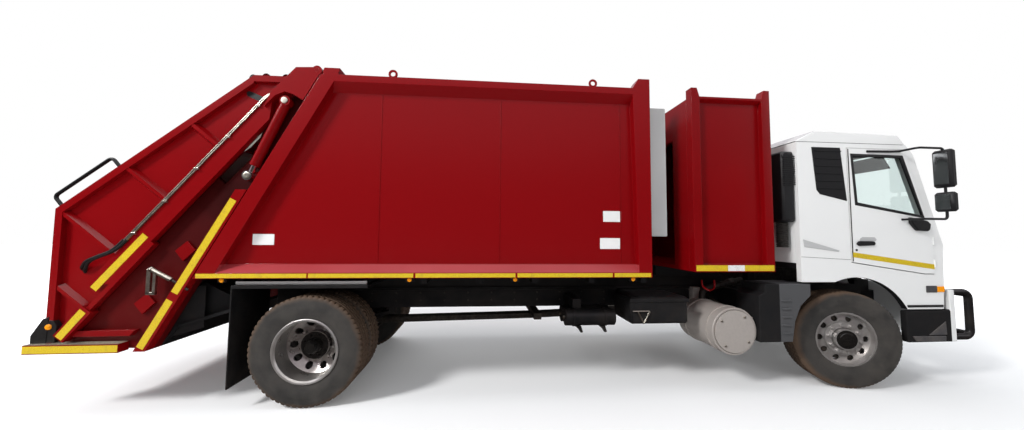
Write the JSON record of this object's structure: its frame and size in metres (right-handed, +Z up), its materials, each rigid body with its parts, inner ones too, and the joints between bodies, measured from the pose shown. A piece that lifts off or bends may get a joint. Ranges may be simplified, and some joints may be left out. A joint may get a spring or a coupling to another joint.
{
  "type": "garbage truck",
  "caption": "Two-axle rear-loading garbage truck with a ribless box body, a crew box, a tilting forward cab and a lifting tailgate with hopper and packer.",
  "frame": {"origin": "on the ground at the middle of the truck's overall length and width", "axes": "+X forward, +Y to the truck's left, +Z up"},
  "size_m": [9.57, 2.96, 3.3],
  "materials": {
    "crimson_paint": "gloss",
    "white_paint": "gloss",
    "black_paint": "satin",
    "grey_paint": "satin",
    "cream_paint": "satin",
    "wheel_silver": "satin",
    "bare_steel": "satin",
    "rod_chrome": "polished",
    "rubber": "dusty",
    "flap_rubber": "matt",
    "black_plastic": "matt",
    "lamp_plastic": "gloss",
    "seat_cloth": "woven",
    "clear_glass": "clear"
  },
  "bodies": {
    "chassis": {"chassis_frame": "black_paint", "rear_axle": "black_paint", "front_axle": "black_paint", "engine_and_driveshaft": "black_paint", "silencer": "bare_steel", "air_tanks": "black_paint", "battery_box": "black_plastic", "fuel_tank": "bare_steel", "rear_mudguards": "flap_rubber", "cab_steps": "black_plastic", "front_bumper": "white_paint", "chassis_lamps": "lamp_plastic", "bull_bar": "bare_steel", "body_side_right": "crimson_paint", "body_side_left": "crimson_paint", "body_floor": "crimson_paint", "body_roof": "crimson_paint", "body_front_wall": "crimson_paint", "oil_tank": "grey_paint", "crew_sides": "crimson_paint", "crew_walls": "crimson_paint", "crew_floor_and_roof": "crimson_paint"},
    "cab": {"cab_sides": "white_paint", "cab_roof": "white_paint", "cab_back_wall": "white_paint", "cab_front_panel": "white_paint", "cab_floor": "white_paint", "windshield": "clear_glass", "dashboard": "black_plastic", "seats": "seat_cloth", "air_intake": "black_plastic"},
    "right_door": {"door_right": "white_paint", "door_glass_right": "clear_glass", "mirror_right": "black_plastic"},
    "left_door": {"door_left": "white_paint", "door_glass_left": "clear_glass", "mirror_left": "black_plastic"},
    "right_knuckle": {"knuckle_right": "black_paint"},
    "left_knuckle": {"knuckle_left": "black_paint"},
    "front_right_wheel": {"tyre_front_right": "rubber", "rim_front_right": "wheel_silver"},
    "front_left_wheel": {"tyre_front_left": "rubber", "rim_front_left": "wheel_silver"},
    "rear_right_wheels": {"tyres_rear_right": "rubber", "rims_rear_right": "wheel_silver"},
    "rear_left_wheels": {"tyres_rear_left": "rubber", "rims_rear_left": "wheel_silver"},
    "tailgate": {"tailgate_side_right": "crimson_paint", "tailgate_side_left": "crimson_paint", "tailgate_roof": "crimson_paint", "hopper": "crimson_paint", "tail_steps": "crimson_paint", "grab_rails": "bare_steel", "tail_lamps": "lamp_plastic"},
    "barrels": {"lift_barrels": "crimson_paint"},
    "rods": {"lift_rods": "rod_chrome"},
    "carriage": {"packer_carriage": "cream_paint"},
    "blade": {"packer_blade": "crimson_paint"}
  },
  "joints": [
    {"name": "cab_tilt", "type": "hinge", "parent": "chassis", "child": "cab", "pos_m": [4.325, 0, 1.05], "axis": [0, 1, 0], "range_deg": [0, 45]},
    {"name": "right_door_swing", "type": "hinge", "parent": "cab", "child": "right_door", "pos_m": [4.248, -1.212, 1.9], "axis": [0, 0, 1], "range_deg": [0, 70]},
    {"name": "left_door_swing", "type": "hinge", "parent": "cab", "child": "left_door", "pos_m": [4.248, 1.212, 1.9], "axis": [0, 0, -1], "range_deg": [0, 70]},
    {"name": "right_steer", "type": "hinge", "parent": "chassis", "child": "right_knuckle", "pos_m": [3.275, -0.9, 0.525], "axis": [0, 0, 1], "range_deg": [-19, 51]},
    {"name": "left_steer", "type": "hinge", "parent": "chassis", "child": "left_knuckle", "pos_m": [3.275, 0.9, 0.525], "axis": [0, 0, 1], "range_deg": [-19, 51]},
    {"name": "front_right_wheel_spin", "type": "hinge", "parent": "right_knuckle", "child": "front_right_wheel", "pos_m": [3.23917, -1.02496, 0.525], "axis": [0.2756, 0.9613, 0], "continuous": true},
    {"name": "front_left_wheel_spin", "type": "hinge", "parent": "left_knuckle", "child": "front_left_wheel", "pos_m": [3.31083, 1.02496, 0.525], "axis": [0.2756, 0.9613, 0], "continuous": true},
    {"name": "rear_right_wheel_spin", "type": "hinge", "parent": "chassis", "child": "rear_right_wheels", "pos_m": [-2.455, -0.9, 0.525], "axis": [0, 1, 0], "continuous": true},
    {"name": "rear_left_wheel_spin", "type": "hinge", "parent": "chassis", "child": "rear_left_wheels", "pos_m": [-2.455, 0.9, 0.525], "axis": [0, 1, 0], "continuous": true},
    {"name": "tailgate_lift", "type": "hinge", "parent": "chassis", "child": "tailgate", "pos_m": [-2.421, 0, 3.233], "axis": [0, 1, 0], "range_deg": [0, 80]},
    {"name": "barrel_swing", "type": "hinge", "parent": "tailgate", "child": "barrels", "pos_m": [-2.712, 0, 2.922], "axis": [0, 1, 0], "range_deg": [-92.1, 0]},
    {"name": "rod_slide", "type": "slide", "parent": "barrels", "child": "rods", "axis": [-0.3865, 0, -0.9223], "range_m": [0, 0.505]},
    {"name": "packer_travel", "type": "slide", "parent": "tailgate", "child": "carriage", "axis": [-0.6369, 0, -0.7709], "range_m": [0, 0.75]},
    {"name": "blade_swing", "type": "hinge", "parent": "carriage", "child": "blade", "pos_m": [-3.72, 0, 2.176], "axis": [0, 1, 0], "range_deg": [0, 95]}
  ],
  "couplings": [
    {"joint": "left_steer", "follows": "right_steer", "ratio": 1},
    {"joint": "barrel_swing", "follows": "tailgate_lift", "ratio": -1.1501},
    {"joint": "rod_slide", "follows": "tailgate_lift", "m_per_rad": 0.3612}
  ]
}
